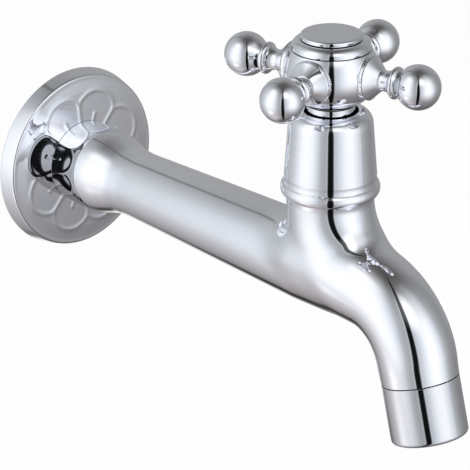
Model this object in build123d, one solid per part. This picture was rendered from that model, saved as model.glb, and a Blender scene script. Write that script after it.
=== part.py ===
from build123d import *
from math import cos, radians, sin, sqrt
import os

# A washing machine tap: a long wall-mounted bib tap with a quarter-turn cross handle.
# The origin is the centre of the wall flange's back face, on the axis of the barrel.
# +X points away from the wall along the barrel, and +Z points up along the valve.

# Driving dimensions, in millimetres and degrees
INLET_THREAD_RADIUS = 10.48     # G1/2, 20.96 across the crests
INLET_THREAD_LENGTH = 16.0
FLANGE_RADIUS = 30.95
FLANGE_EDGE_RADIUS = 29.9
FLANGE_EDGE_X = 5.2
FLANGE_SEAT_RADIUS = 15.0       # the flat that the barrel's collar bears on
FLANGE_SEAT_X = 5.95
FLANGE_SHEET = 0.9
PETALS = 8
PETAL_TURN = 26.0               # the middle of the first petal, from +Y towards +Z
PETAL_NOTCH_RADIUS = 20.4
PETAL_TIP_RADIUS = 24.6
RIB_WIDTH = 1.3
RIB_HEIGHT = 0.45

COLLAR_X = 6.0                  # foot of the collar, which holds the flange to the wall
COLLAR_END_X = 19.6
BARREL_COLLAR_RADIUS = 14.25
BARREL_START_X = 31.6
BARREL_SMALL_RADIUS = 11.02
BARREL_LARGE_RADIUS = 13.55
VALVE_X = 125.93
BEND_X = 141.4
BEND_RADIUS = 23.7
BEND_START_RADIUS = 12.8
BEND_END_RADIUS = 12.3
SPOUT_TILT = 15.0               # the outlet leans forward by this much from straight down
SPOUT_LENGTH = 25.15            # from the end of the bend to the mouth of the outlet
SPOUT_RADIUS = 12.0
BLEND_ANGLE = 11.0              # how steeply the neck's front runs into the bend
BLEND_TOP_RADIUS = 13.5
BLEND_RADIUS = 13.1
NECK_FOOT_RADIUS = 12.8
NECK_TOP_RADIUS = 14.35
NECK_TOP_Z = 25.2
REAR_FILLET = 3.0

WATERWAY_RADIUS = 6.5
WATERWAY_END_X = 111.0
GALLERY_RADIUS = 3.8
GALLERY_Z = -6.2
SEAT_RADIUS = 4.2
SEAT_RIM_RADIUS = 6.4
CHAMBER_RADIUS = 10.0
CHAMBER_FLOOR_Z = -0.6
SPOUT_BORE_RADIUS = 8.2
SPIGOT_RADIUS = 12.0
SPIGOT_TOP_Z = 31.0
VALVE_THREAD_RADIUS = 10.48
VALVE_THREAD_Z = 18.0

HEADWORK_FOOT_Z = 1.2
CAGE_RADIUS = 9.0
CAGE_BORE_RADIUS = 8.1
CAGE_CEILING_Z = 14.2
SHAFT_RADIUS = 4.5
HEX_ACROSS_FLATS = 19.0
HEADWORK_TOP_Z = 46.0
DISC_RADIUS = 8.0
FIXED_DISC_Z = 3.4
DISC_JOINT_Z = 6.6
MOVING_DISC_TOP_Z = 9.6
DRIVER_TOP_Z = 12.8
PORT_INNER_RADIUS = 1.8
PORT_OUTER_RADIUS = 6.6
PORT_ANGLE = 76.0
DRIVER_RADIUS = 7.4
DRIVER_WIDTH = 5.0
RING_HEIGHTS = (27.0, 31.5)
SPLINE_TEETH = 20
SPLINE_RADIUS = 4.0
SPLINE_ROOT_RADIUS = 3.6
SPLINE_START_Z = 49.8
SPINDLE_TOP_Z = 62.5
SCREW_SEAT_Z = 66.0

BELL_BEAD_RADIUS = 15.35
BELL_BEAD_Z = 27.3
BELL_TOP_Z = 52.2
BELL_MOUTH_RADIUS = 8.5

HANDLE_TURN = 17.4              # where the handle stands in the photograph
SPOKES = 4
SPOKE_Z = 64.9
HUB_RADIUS = 14.4
HUB_UNDER_RADIUS = 9.3
HUB_UNDER_Z = 55.43
SKIRT_RADIUS = 7.5
SKIRT_FOOT_Z = 49.5
COLLAR_Z = 73.0
COLLAR_RADIUS = 11.6
HUB_TOP_Z = 75.2
BUTTON_RADIUS = 9.45
BUTTON_Z = 75.3
BUTTON_TOP_Z = 76.8
BOSS_RADIUS = 6.6
STUD_RADIUS = 2.5
STUD_TIP = 8.0
BALL_RADIUS = 6.9
BALL_CENTRE = 29.5
BOSS_FOOT = sqrt(HUB_RADIUS ** 2 - BOSS_RADIUS ** 2)    # where a spoke meets the hub

SLEEVE_LENGTH = 18.5
STUB_RADIUS = 10.95
STUB_LENGTH = 6.5
MOUTH_RADIUS = 9.4
INSERT_RADIUS = 10.2
INSERT_SHOULDER = 9.3           # up the sleeve from its mouth
SLEEVE_LIP = 2.2
NET_PITCH = 1.7
NET_WIRE = 0.4

FIT = 0.05                      # radial clearance of turning and threaded fits


def closed(*corners):
    """A flat face from (x, y) corners; a third number rounds its corner."""
    points = [corner[:2] for corner in corners]
    rounds = [corner[2] if len(corner) > 2 else 0 for corner in corners]
    return make_face(FilletPolyline(*points, radius=rounds, close=True))


def about_z(*corners):
    """A solid turned about Z from (radius, height) corners."""
    return revolve(Plane.XZ * closed(*corners), Axis.Z)


def ring(inner, outer, bottom, top, round_off=0):
    """A plain ring about Z."""
    return about_z((inner, bottom, round_off), (outer, bottom, round_off),
                   (outer, top, round_off), (inner, top, round_off))


def round_bar(path, start_radius, end_radius):
    """A round bar that follows a path and tapers along it."""
    start = Plane(origin=path @ 0, z_dir=path % 0) * Circle(start_radius)
    end = Plane(origin=path @ 1, z_dir=path % 1) * Circle(end_radius)
    return sweep([start, end], path=path, multisection=True)


def at_valve(solid):
    """Move a piece that was made about Z on to the axis of the valve."""
    return Pos(VALVE_X, 0, 0) * solid


# The centre line of the spout: a bend and a short straight run to the mouth of the outlet.
# Pieces of the outlet are made about Z with their mouth at zero, and tilted into place.
bend_path = Plane.XZ * CenterArc((BEND_X, -BEND_RADIUS), BEND_RADIUS, 90, SPOUT_TILT - 90)
bend_end = bend_path @ 1
spout_direction = bend_path % 1
outlet_centre = bend_end + spout_direction * SPOUT_LENGTH
OUTLET = Pos(*outlet_centre) * Rot(0, -SPOUT_TILT, 0)


# Wall flange: a pressed brass rose with a turned-down rim and a flat round its hole. It is
# loose on the inlet, and the barrel's collar holds it to the wall.
def flange_face_x(radius):
    """How far the flange's shallow cone stands from the wall."""
    fall = (FLANGE_SEAT_X - FLANGE_EDGE_X) / (FLANGE_EDGE_RADIUS - FLANGE_SEAT_RADIUS)
    return FLANGE_EDGE_X + fall * (FLANGE_EDGE_RADIUS - radius)


def petal_ribs():
    """Ribs that outline the eight petals, with a short vein at the root of each."""
    half = radians(180 / PETALS)
    notch_x = PETAL_NOTCH_RADIUS * cos(half)
    notch_y = PETAL_NOTCH_RADIUS * sin(half)
    edge = ThreePointArc((notch_x, -notch_y), (PETAL_TIP_RADIUS, 0), (notch_x, notch_y))
    petal = make_face(edge + Polyline((notch_x, notch_y), (0, 0), (notch_x, -notch_y)))
    vein = Pos(FLANGE_SEAT_RADIUS + 1, 0) * SlotOverall(4.0, RIB_WIDTH)
    lobes = Sketch()
    panels = Sketch()
    veins = Sketch()
    for number in range(PETALS):
        turn = Rot(0, 0, PETAL_TURN + 360 / PETALS * number)
        lobes += turn * offset(petal, RIB_WIDTH / 2)
        panels += turn * offset(petal, -RIB_WIDTH / 2)
        veins += turn * vein
    inner = FLANGE_SEAT_RADIUS
    outer = PETAL_TIP_RADIUS + RIB_WIDTH
    layer = closed((flange_face_x(inner) - 0.5, inner),
                   (flange_face_x(inner) + RIB_HEIGHT, inner),
                   (flange_face_x(outer) + RIB_HEIGHT, outer),
                   (flange_face_x(outer) - 0.5, outer))
    plan = Plane.YZ * (lobes - panels + veins)
    return revolve(Plane.XZ * layer, Axis.X) & extrude(plan, FLANGE_SEAT_X + 1)


def make_wall_flange():
    hole = INLET_THREAD_RADIUS + 0.2
    under_x = FLANGE_SEAT_X - FLANGE_SHEET
    shell = closed((0, FLANGE_RADIUS), (FLANGE_EDGE_X, FLANGE_EDGE_RADIUS, 0.8),
                   (FLANGE_SEAT_X, FLANGE_SEAT_RADIUS), (FLANGE_SEAT_X, hole),
                   (under_x, hole), (under_x, FLANGE_SEAT_RADIUS),
                   (FLANGE_EDGE_X - FLANGE_SHEET, FLANGE_EDGE_RADIUS - FLANGE_SHEET, 0.3),
                   (0, FLANGE_RADIUS - FLANGE_SHEET))
    return revolve(Plane.XZ * shell, Axis.X) + petal_ribs()


# Tap body: one brass casting with the barrel, the neck for the valve and the bent spout.
def make_body_outside():
    root = closed((-INLET_THREAD_LENGTH, 0), (-INLET_THREAD_LENGTH, INLET_THREAD_RADIUS - 1),
                  (1 - INLET_THREAD_LENGTH, INLET_THREAD_RADIUS), (0, INLET_THREAD_RADIUS),
                  (0.4, INLET_THREAD_RADIUS - 0.4), (COLLAR_X, INLET_THREAD_RADIUS - 0.4),
                  (COLLAR_X, 0))
    side = closed((COLLAR_X, 0), (COLLAR_X, BARREL_COLLAR_RADIUS),
                  (COLLAR_END_X, BARREL_COLLAR_RADIUS, 10),
                  (BARREL_START_X, BARREL_SMALL_RADIUS, 36),
                  (VALVE_X, BARREL_LARGE_RADIUS), (BEND_X, BEND_START_RADIUS), (BEND_X, 0))
    barrel = revolve(Plane.XZ * (root + side), Axis.X)

    # The blend runs straight down the neck and curves forward until it meets the bend.
    steepness = sin(radians(BLEND_ANGLE))
    blend_bend = (BEND_X - VALVE_X + BEND_RADIUS * steepness) / (1 - steepness)
    drop = cos(radians(BLEND_ANGLE))
    blend_top_z = (BEND_RADIUS + blend_bend) * drop - BEND_RADIUS
    blend_path = Plane.XZ * CenterArc((VALVE_X + blend_bend, blend_top_z), blend_bend,
                                      180, 90 - BLEND_ANGLE)
    front_path = Plane.XZ * CenterArc((BEND_X, -BEND_RADIUS), BEND_RADIUS, 90 - BLEND_ANGLE,
                                      SPOUT_TILT + BLEND_ANGLE - 90)
    blend = round_bar(blend_path, BLEND_TOP_RADIUS, BLEND_RADIUS)
    front = round_bar(front_path, BLEND_RADIUS, BEND_END_RADIUS)

    neck = at_valve(about_z((0, 0), (NECK_FOOT_RADIUS, 0), (BLEND_TOP_RADIUS, blend_top_z),
                            (NECK_TOP_RADIUS, NECK_TOP_Z), (0, NECK_TOP_Z)))
    barrel_and_neck = barrel + neck
    rear_edges = [edge for edge in barrel_and_neck.edges()
                  if edge.geom_type == GeomType.BSPLINE and edge.center().X < VALVE_X]
    barrel_and_neck = fillet(rear_edges, REAR_FILLET)

    spout = Solid.make_cone(SPOUT_RADIUS, BEND_END_RADIUS, SPOUT_LENGTH - SLEEVE_LENGTH)
    stub = ring(0, STUB_RADIUS, -STUB_LENGTH, 0)
    run = OUTLET * Pos(0, 0, SLEEVE_LENGTH) * (spout + chamfer(stub.edges().sort_by(Axis.Z)[0], 0.4))
    spigot = at_valve(about_z((0, 20), (SPIGOT_RADIUS, 20), (SPIGOT_RADIUS, SPIGOT_TOP_Z, 0.4),
                              (0, SPIGOT_TOP_Z)))
    return barrel_and_neck + round_bar(bend_path, BEND_START_RADIUS, BEND_END_RADIUS) \
        + blend + front + run + spigot


# The waterways: in along the barrel, under the seat, up through it, and out along the spout.
def make_waterways():
    inlet = revolve(Plane.XZ * closed((-INLET_THREAD_LENGTH - 1, 0),
                                      (-INLET_THREAD_LENGTH - 1, WATERWAY_RADIUS),
                                      (WATERWAY_END_X, WATERWAY_RADIUS, 4),
                                      (WATERWAY_END_X, 0)), Axis.X)
    gallery_length = VALVE_X - WATERWAY_END_X + GALLERY_RADIUS
    gallery = Pos(WATERWAY_END_X - 4, 0, GALLERY_Z) * Rot(0, 90, 0) \
        * Cylinder(GALLERY_RADIUS, gallery_length + 4, align=(Align.CENTER, Align.CENTER, Align.MIN))
    seat_port = at_valve(ring(0, SEAT_RADIUS, GALLERY_Z, 1))
    chamber = at_valve(about_z((SEAT_RIM_RADIUS, 0), (SEAT_RIM_RADIUS, CHAMBER_FLOOR_Z),
                               (CHAMBER_RADIUS, CHAMBER_FLOOR_Z, 1), (CHAMBER_RADIUS, VALVE_THREAD_Z),
                               (VALVE_THREAD_RADIUS + FIT, VALVE_THREAD_Z + 0.5),
                               (VALVE_THREAD_RADIUS + FIT, SPIGOT_TOP_Z + 1),
                               (0, SPIGOT_TOP_Z + 1), (0, 0)))
    run_length = SPOUT_LENGTH - SLEEVE_LENGTH + STUB_LENGTH + 1
    centre_line = Line((VALVE_X + CHAMBER_RADIUS - 2, 0, 0), (BEND_X, 0, 0)) + bend_path \
        + Line(bend_end, bend_end + spout_direction * run_length)
    start = Plane(origin=centre_line @ 0, z_dir=centre_line % 0) * Circle(SPOUT_BORE_RADIUS)
    return inlet + gallery + seat_port + chamber + sweep(start, path=centre_line)


def make_tap_body():
    return make_body_outside() - make_waterways()


# Seat seal: a rubber bush in the foot of the valve, squeezed on to the seat.
def make_seat_seal():
    hole = SEAT_RADIUS + 0.3
    return at_valve(about_z((hole, 0.02), (SEAT_RIM_RADIUS + 0.6, 0.02, 0.3),
                            (DISC_RADIUS, HEADWORK_FOOT_Z), (DISC_RADIUS, FIXED_DISC_Z - 0.02),
                            (hole, FIXED_DISC_Z - 0.02)))


# Ceramic discs: the fixed one is keyed to the cage, the moving one turns with the spindle.
# A quarter turn brings the two pairs of ports in line.
def port(turn):
    """One of the two fan-shaped ports of a ceramic disc."""
    half = radians(PORT_ANGLE / 2)
    reach = 2 * PORT_OUTER_RADIUS
    corner_x = reach * cos(half)
    corner_y = reach * sin(half)
    wedge = make_face(Polyline((0, 0), (corner_x, -corner_y), (reach, 0), (corner_x, corner_y),
                               close=True))
    fan = (Circle(PORT_OUTER_RADIUS) - Circle(PORT_INNER_RADIUS)) & wedge
    return Rot(0, 0, turn) * fillet(fan.vertices(), 0.5)


def make_disc(bottom, top, turn, radius):
    """A lapped ceramic disc with two opposite ports and a bevelled rim."""
    disc = Pos(0, 0, bottom) * extrude(Circle(radius), top - bottom)
    disc = chamfer(disc.edges().sort_by(Axis.Z)[-1], 0.3)
    return disc - extrude(port(turn) + port(turn + 180), top + 1)


def driver_dogs(clearance):
    """The two dogs under the spindle's driver, which sit in slots of the moving disc."""
    dogs = Part()
    for side in (-1, 1):
        block = Box(2.4 + 2 * clearance, 2.0 + 2 * clearance, 1.8 + clearance,
                    align=(Align.CENTER, Align.CENTER, Align.MAX))
        dogs += Pos(0, side * 5.6, MOVING_DISC_TOP_Z + 0.2) * block
    return Rot(0, 0, HANDLE_TURN) * dogs


def make_fixed_disc():
    return at_valve(make_disc(FIXED_DISC_Z, DISC_JOINT_Z, HANDLE_TURN + 90, DISC_RADIUS))


def make_moving_disc():
    disc = make_disc(DISC_JOINT_Z + 0.02, MOVING_DISC_TOP_Z, HANDLE_TURN, DISC_RADIUS - 0.1)
    return at_valve(disc - driver_dogs(0.1))


# Valve headwork: a brass screw-in body with the disc cage below, the thread, and the
# hexagon for the spanner under the bell.
def make_cartridge_body():
    thread_radius = VALVE_THREAD_RADIUS - FIT
    collar_radius = SPIGOT_RADIUS - 0.1
    outside = about_z((0, HEADWORK_FOOT_Z), (CAGE_RADIUS, HEADWORK_FOOT_Z, 0.4),
                      (CAGE_RADIUS, VALVE_THREAD_Z + 0.6), (thread_radius, VALVE_THREAD_Z + 2),
                      (thread_radius, SPIGOT_TOP_Z + 0.8),
                      (collar_radius, SPIGOT_TOP_Z + 0.8), (collar_radius, SPIGOT_TOP_Z + 2.6, 0.4),
                      (7.0, SPIGOT_TOP_Z + 2.6), (7.0, HEADWORK_TOP_Z, 0.5), (0, HEADWORK_TOP_Z))
    hexagon = extrude(RegularPolygon(HEX_ACROSS_FLATS / 2, 6, major_radius=False), 6.0)
    hexagon = Pos(0, 0, SPIGOT_TOP_Z + 2.4) * chamfer(hexagon.edges().group_by(Axis.Z)[-1], 0.6)
    inside = about_z((0, 0), (CAGE_BORE_RADIUS, 0), (CAGE_BORE_RADIUS, CAGE_CEILING_Z, 0.5),
                     (SHAFT_RADIUS + FIT, CAGE_CEILING_Z),
                     (SHAFT_RADIUS + FIT, HEADWORK_TOP_Z + 1), (0, HEADWORK_TOP_Z + 1))
    body = outside + hexagon - inside
    window = Box(30, 9, 5.2, align=(Align.CENTER, Align.CENTER, Align.MIN))
    window = fillet(window.edges().filter_by(Axis.X), 1.5)
    return at_valve(body - Rot(0, 0, HANDLE_TURN) * Pos(0, 0, MOVING_DISC_TOP_Z - 0.6) * window)


# Spindle: turned brass, with the disc driver at its foot, two ring grooves, a groove for
# the circlip and twenty splines for the handle.
def spline_bar(clearance, bottom, top):
    """A bar with the splines of the spindle, grown by a clearance."""
    points = []
    for tooth in range(SPLINE_TEETH):
        for step, radius in ((0, SPLINE_ROOT_RADIUS), (0.5, SPLINE_RADIUS)):
            angle = radians(360 / SPLINE_TEETH * (tooth + step))
            points.append(((radius + clearance) * cos(angle), (radius + clearance) * sin(angle)))
    return Pos(0, 0, bottom) * extrude(make_face(Polyline(*points, close=True)), top - bottom)


def make_spindle():
    groove = SHAFT_RADIUS - 1.6
    corners = [(0, DRIVER_TOP_Z), (SHAFT_RADIUS, DRIVER_TOP_Z)]
    for height in RING_HEIGHTS:
        corners += [(SHAFT_RADIUS, height - 1), (groove, height - 1),
                    (groove, height + 1), (SHAFT_RADIUS, height + 1)]
    clip = HEADWORK_TOP_Z + 0.1
    corners += [(SHAFT_RADIUS, clip), (SHAFT_RADIUS - 0.8, clip), (SHAFT_RADIUS - 0.8, clip + 1.1),
                (SHAFT_RADIUS, clip + 1.1), (SHAFT_RADIUS, clip + 1.9, 0.4),
                (SPLINE_ROOT_RADIUS, clip + 1.9), (SPLINE_ROOT_RADIUS, SPLINE_START_Z),
                (0, SPLINE_START_Z)]
    shaft = about_z(*corners) + spline_bar(0, SPLINE_START_Z, SPINDLE_TOP_Z)
    foot = ring(0, DRIVER_RADIUS, MOVING_DISC_TOP_Z + 0.02, DRIVER_TOP_Z)
    foot &= Rot(0, 0, HANDLE_TURN) * Pos(0, 0, MOVING_DISC_TOP_Z) * Box(DRIVER_WIDTH, 40, 20)
    driver = foot + ring(0, DRIVER_RADIUS, DRIVER_TOP_Z - 1.2, DRIVER_TOP_Z) + driver_dogs(0)
    screw_hole = ring(0, 2.05, SPINDLE_TOP_Z - 9, SPINDLE_TOP_Z + 1)
    return at_valve(shaft + driver - screw_hole)


def make_thrust_washer():
    return at_valve(ring(SHAFT_RADIUS + 0.1, DRIVER_RADIUS, DRIVER_TOP_Z + 0.05,
                         CAGE_CEILING_Z - 0.05))


def make_spindle_rings():
    rings = Part()
    for height in RING_HEIGHTS:
        rings += Pos(0, 0, height) * Torus(SHAFT_RADIUS - 0.82, 0.76)
    return at_valve(rings)


def make_circlip():
    clip = ring(SHAFT_RADIUS - 0.75, SHAFT_RADIUS + 1.9, HEADWORK_TOP_Z + 0.15, HEADWORK_TOP_Z + 1.15)
    gap = Pos(10, 0, HEADWORK_TOP_Z) * Box(20, 4.4, 6)
    return at_valve(clip - gap)


def make_joint_washer():
    return at_valve(ring(VALVE_THREAD_RADIUS + 0.1, SPIGOT_RADIUS - 0.1,
                         SPIGOT_TOP_Z + 0.02, SPIGOT_TOP_Z + 0.78))


# Bell: a turned brass cover, screwed on to the spigot of the neck and open at the top.
def make_bell():
    bead_half = 2.0
    bead = ThreePointArc((BELL_BEAD_RADIUS - 0.9, BELL_BEAD_Z - bead_half),
                         (BELL_BEAD_RADIUS, BELL_BEAD_Z),
                         (BELL_BEAD_RADIUS - 0.95, BELL_BEAD_Z + bead_half))
    bottom = NECK_TOP_Z + 0.05
    cove = SagittaArc(bead @ 1, (14.28, 31.6), 0.12)
    shoulder = TangentArc((13.0, 48.4), (9.3, BELL_TOP_Z), tangent=(-0.07, 1))
    wall = Polyline(shoulder @ 1, (BELL_MOUTH_RADIUS, BELL_TOP_Z), (BELL_MOUTH_RADIUS, 50.8),
                    (9.6, 50.4), (11.2, 47.6), (12.4, 34.5), (12.4, SPIGOT_TOP_Z + 0.2),
                    (SPIGOT_RADIUS + FIT, SPIGOT_TOP_Z - 0.2), (SPIGOT_RADIUS + FIT, bottom),
                    (BELL_BEAD_RADIUS - 0.9, bottom), bead @ 0)
    return at_valve(revolve(Plane.XZ * make_face(bead + cove + Line(cove @ 1, (13.0, 48.4))
                                                 + shoulder + wall), Axis.Z))


# Handle hub: a turned ball with a skirt that dips into the bell, flats for the four
# spokes and a well for the screw and the index button.
def spoke_place(number):
    """The place of a spoke that was made along X from the axis of the valve."""
    return Pos(0, 0, SPOKE_Z) * Rot(0, 0, HANDLE_TURN + 360 / SPOKES * number)


def spoke_seat():
    """The flat and the tapped hole that a spoke screws into."""
    flat = Pos(BOSS_FOOT - 0.02, 0, 0) * Box(10, 20, 14, align=(Align.MIN, Align.CENTER, Align.CENTER))
    hole = Pos(STUD_TIP - 0.4, 0, 0) * Rot(0, 90, 0) \
        * Cylinder(STUD_RADIUS + FIT, 10, align=(Align.CENTER, Align.CENTER, Align.MIN))
    return flat + hole


def make_handle_hub():
    top_radius = sqrt(HUB_RADIUS ** 2 - (COLLAR_Z - SPOKE_Z) ** 2)
    under = TangentArc((HUB_RADIUS, SPOKE_Z), (HUB_UNDER_RADIUS, HUB_UNDER_Z), tangent=(0, -1))
    under_end = under @ 1
    ball = RadiusArc((HUB_RADIUS, SPOKE_Z), (top_radius, COLLAR_Z), -HUB_RADIUS)
    collar = TangentArc((COLLAR_RADIUS, COLLAR_Z), (10.0, HUB_TOP_Z), tangent=(0.15, 1))
    cove = RadiusArc((SKIRT_RADIUS, 54.7), under_end, 2.4)
    rest = Polyline((10.0, HUB_TOP_Z), (0, HUB_TOP_Z), (0, SKIRT_FOOT_Z), (SKIRT_RADIUS, SKIRT_FOOT_Z),
                    (SKIRT_RADIUS, 54.7))
    step = Line((top_radius, COLLAR_Z), (COLLAR_RADIUS, COLLAR_Z))
    hub = revolve(Plane.XZ * make_face(under + ball + step + collar + rest + cove), Axis.Z)
    inside = about_z((0, SKIRT_FOOT_Z - 1), (5.8, SKIRT_FOOT_Z - 1), (5.8, SPLINE_START_Z + 1.2),
                     (0, SPLINE_START_Z + 1.2))
    well_radius = BUTTON_RADIUS - 0.9
    well = about_z((0, SCREW_SEAT_Z), (4.9, SCREW_SEAT_Z), (4.9, 72.0), (well_radius, 72.0),
                   (well_radius, HUB_TOP_Z + 1), (0, HUB_TOP_Z + 1))
    hub -= inside + well + ring(0, 2.2, 60, 70) + spline_bar(FIT, SKIRT_FOOT_Z, SPINDLE_TOP_Z + 0.3)
    for number in range(SPOKES):
        hub -= spoke_place(number) * spoke_seat()
    return at_valve(hub)


# Spokes: turned brass, each with a threaded stud, a domed foot on the hub, a bead and a ball.
def make_spoke(number):
    stud = Polyline((STUD_TIP, 0), (STUD_TIP, STUD_RADIUS - 0.4), (STUD_TIP + 0.4, STUD_RADIUS),
                    (BOSS_FOOT, STUD_RADIUS), (BOSS_FOOT, BOSS_RADIUS))
    dome = ThreePointArc((BOSS_FOOT, BOSS_RADIUS), (15.5, 5.7), (17.6, 3.7))
    neck = ThreePointArc((17.6, 3.7), (19.2, 3.15), (20.8, 3.9))
    bead = ThreePointArc((20.8, 3.9), (22.1, 4.95), (23.3, 4.1))
    ball = CenterArc((BALL_CENTRE, 0), BALL_RADIUS, 0, 130)
    throat = TangentArc(ball @ 1, bead @ 1, tangent=ball % 1)
    outline = stud + dome + neck + bead + throat + ball + Line(ball @ 0, (STUD_TIP, 0))
    spoke = revolve(Plane.XZ * make_face(outline), Axis.X)
    return at_valve(spoke_place(number) * spoke)


def make_handle_screw():
    head_top_z = SCREW_SEAT_Z + 2.0
    head = about_z((0, SCREW_SEAT_Z + 0.02), (3.6, SCREW_SEAT_Z + 0.02), (3.6, head_top_z, 0.8),
                   (0, head_top_z))
    shank = ring(0, 2.0, SPINDLE_TOP_Z - 8, SCREW_SEAT_Z + 0.1)
    cross_slot = Box(0.9, 4.4, 2.4) + Box(4.4, 0.9, 2.4)
    return at_valve(head + shank - Pos(0, 0, head_top_z) * cross_slot)


# Index button: a blank chromed disc that snaps into the hub over the screw.
def make_index_button():
    plug = BUTTON_RADIUS - 0.95
    button = about_z((0, 74.0), (plug - 1.2, 74.0), (plug - 1.2, 72.3), (plug, 72.3, 0.2),
                     (plug, BUTTON_Z), (BUTTON_RADIUS, BUTTON_Z, 0.3),
                     (BUTTON_RADIUS, BUTTON_TOP_Z, 0.7), (0, BUTTON_TOP_Z))
    return at_valve(button)


# Outlet sleeve: a turned aerator housing, screwed over the end of the spout.
def make_outlet_sleeve():
    thread = STUB_RADIUS + FIT
    bore = INSERT_RADIUS + 0.1
    top = SLEEVE_LENGTH - 0.08
    sleeve = about_z((MOUTH_RADIUS, 0, 0.5), (SPOUT_RADIUS, 0, 1.2), (SPOUT_RADIUS, top, 0.12),
                     (thread, top), (thread, INSERT_SHOULDER), (bore, INSERT_SHOULDER),
                     (bore, SLEEVE_LIP), (MOUTH_RADIUS, SLEEVE_LIP))
    return OUTLET * sleeve


# Aerator insert: a moulded cup with a ring of metering holes, above a woven steel net.
def make_aerator_insert():
    brim = STUB_RADIUS - 0.05
    cup = about_z((9.0, 3.4), (INSERT_RADIUS, 3.4), (INSERT_RADIUS, INSERT_SHOULDER + 0.05),
                  (brim, INSERT_SHOULDER + 0.05), (brim, 10.5), (0, 10.5), (0, 9.0), (9.0, 9.0))
    for count, radius in ((6, 3.4), (12, 6.6)):
        for number in range(count):
            angle = 360 / count * number
            cup -= Rot(0, 0, angle) * Pos(radius, 0, 9.7) * Cylinder(0.8, 4)
    return OUTLET * cup


def make_aerator_net():
    face = Circle(INSERT_RADIUS)
    reach = int(MOUTH_RADIUS / NET_PITCH)
    gap = NET_PITCH - NET_WIRE
    gaps = Sketch()
    for column in range(-reach, reach + 1):
        for row in range(-reach, reach + 1):
            centre = (column * NET_PITCH, row * NET_PITCH)
            if sqrt(centre[0] ** 2 + centre[1] ** 2) + gap * 0.71 < MOUTH_RADIUS:
                gaps += Pos(*centre) * Rectangle(gap, gap)
    return OUTLET * Pos(0, 0, SLEEVE_LIP + 0.2) * extrude(face - gaps, 0.8)


def make_outlet_washer():
    return OUTLET * ring(8.3, STUB_RADIUS - 0.1, 10.52, SLEEVE_LENGTH - STUB_LENGTH - 0.02, 0.3)


# Nodes
nodes = {
    "wall_flange": make_wall_flange(),
    "tap_body": make_tap_body(),
    "seat_seal": make_seat_seal(),
    "fixed_ceramic_disc": make_fixed_disc(),
    "moving_ceramic_disc": make_moving_disc(),
    "cartridge_body": make_cartridge_body(),
    "cartridge_washer": make_joint_washer(),
    "spindle": make_spindle(),
    "thrust_washer": make_thrust_washer(),
    "spindle_o_rings": make_spindle_rings(),
    "spindle_circlip": make_circlip(),
    "bell_shroud": make_bell(),
    "handle_hub": make_handle_hub(),
    "handle_screw": make_handle_screw(),
    "index_button": make_index_button(),
    "outlet_sleeve": make_outlet_sleeve(),
    "outlet_washer": make_outlet_washer(),
    "aerator_insert": make_aerator_insert(),
    "aerator_net": make_aerator_net(),
}
for number, name in enumerate(("spoke_front", "spoke_right", "spoke_back", "spoke_left")):
    nodes[name] = make_spoke(number)

os.makedirs("parts", exist_ok=True)
for name, solid in nodes.items():
    export_step(solid, f"parts/{name}.step")
    print(name, round(solid.volume / 1000, 2), "cm3")
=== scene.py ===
import bmesh
import bpy
from math import asin, atan2, cos, pi, radians, sin
from mathutils import Matrix, Vector
import numpy as np


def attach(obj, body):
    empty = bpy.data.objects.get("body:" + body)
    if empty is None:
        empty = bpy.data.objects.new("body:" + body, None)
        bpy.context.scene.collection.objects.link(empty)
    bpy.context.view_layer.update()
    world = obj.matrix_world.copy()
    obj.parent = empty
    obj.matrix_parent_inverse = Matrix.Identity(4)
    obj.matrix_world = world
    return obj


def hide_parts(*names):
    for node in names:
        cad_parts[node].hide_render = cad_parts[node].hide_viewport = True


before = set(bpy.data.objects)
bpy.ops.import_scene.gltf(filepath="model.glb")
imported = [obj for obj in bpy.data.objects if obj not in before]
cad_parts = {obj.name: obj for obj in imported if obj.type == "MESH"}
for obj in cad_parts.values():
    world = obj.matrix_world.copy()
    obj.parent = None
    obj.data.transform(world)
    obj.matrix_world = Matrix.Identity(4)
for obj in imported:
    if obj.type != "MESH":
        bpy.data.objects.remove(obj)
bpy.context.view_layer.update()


# The camera stands where the photographer stood: in front of the tap, to its right and
# above it, with a long lens that keeps the flange and the outlet nearly the same size.
CAMERA_TURN = radians(48.138)
CAMERA_RISE = radians(23.505)
CAMERA_ROLL = radians(-0.341)
CAMERA_DISTANCE = 0.950036
CAMERA_AIM = Vector((0.082078, 0.0, -0.003221))
SENSOR_WIDTH = 36.0
PHOTO_WIDTH = 470                # pixels, as is the focal length
FOCAL_LENGTH = 2965.533

toward_camera = Vector((sin(CAMERA_TURN) * cos(CAMERA_RISE),
                        -cos(CAMERA_TURN) * cos(CAMERA_RISE), sin(CAMERA_RISE)))
camera_data = bpy.data.cameras.new("camera")
camera_data.lens = FOCAL_LENGTH / PHOTO_WIDTH * SENSOR_WIDTH
camera_data.sensor_width = SENSOR_WIDTH
camera_data.clip_start = 0.01
camera = bpy.data.objects.new("camera", camera_data)
bpy.context.scene.collection.objects.link(camera)
camera.matrix_world = (Matrix.Translation(CAMERA_AIM + toward_camera * CAMERA_DISTANCE)
                       @ toward_camera.to_track_quat("Z", "Y").to_matrix().to_4x4()
                       @ Matrix.Rotation(CAMERA_ROLL, 4, "Z"))
bpy.context.scene.camera = camera
bpy.context.scene.view_settings.view_transform = "Standard"


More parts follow.
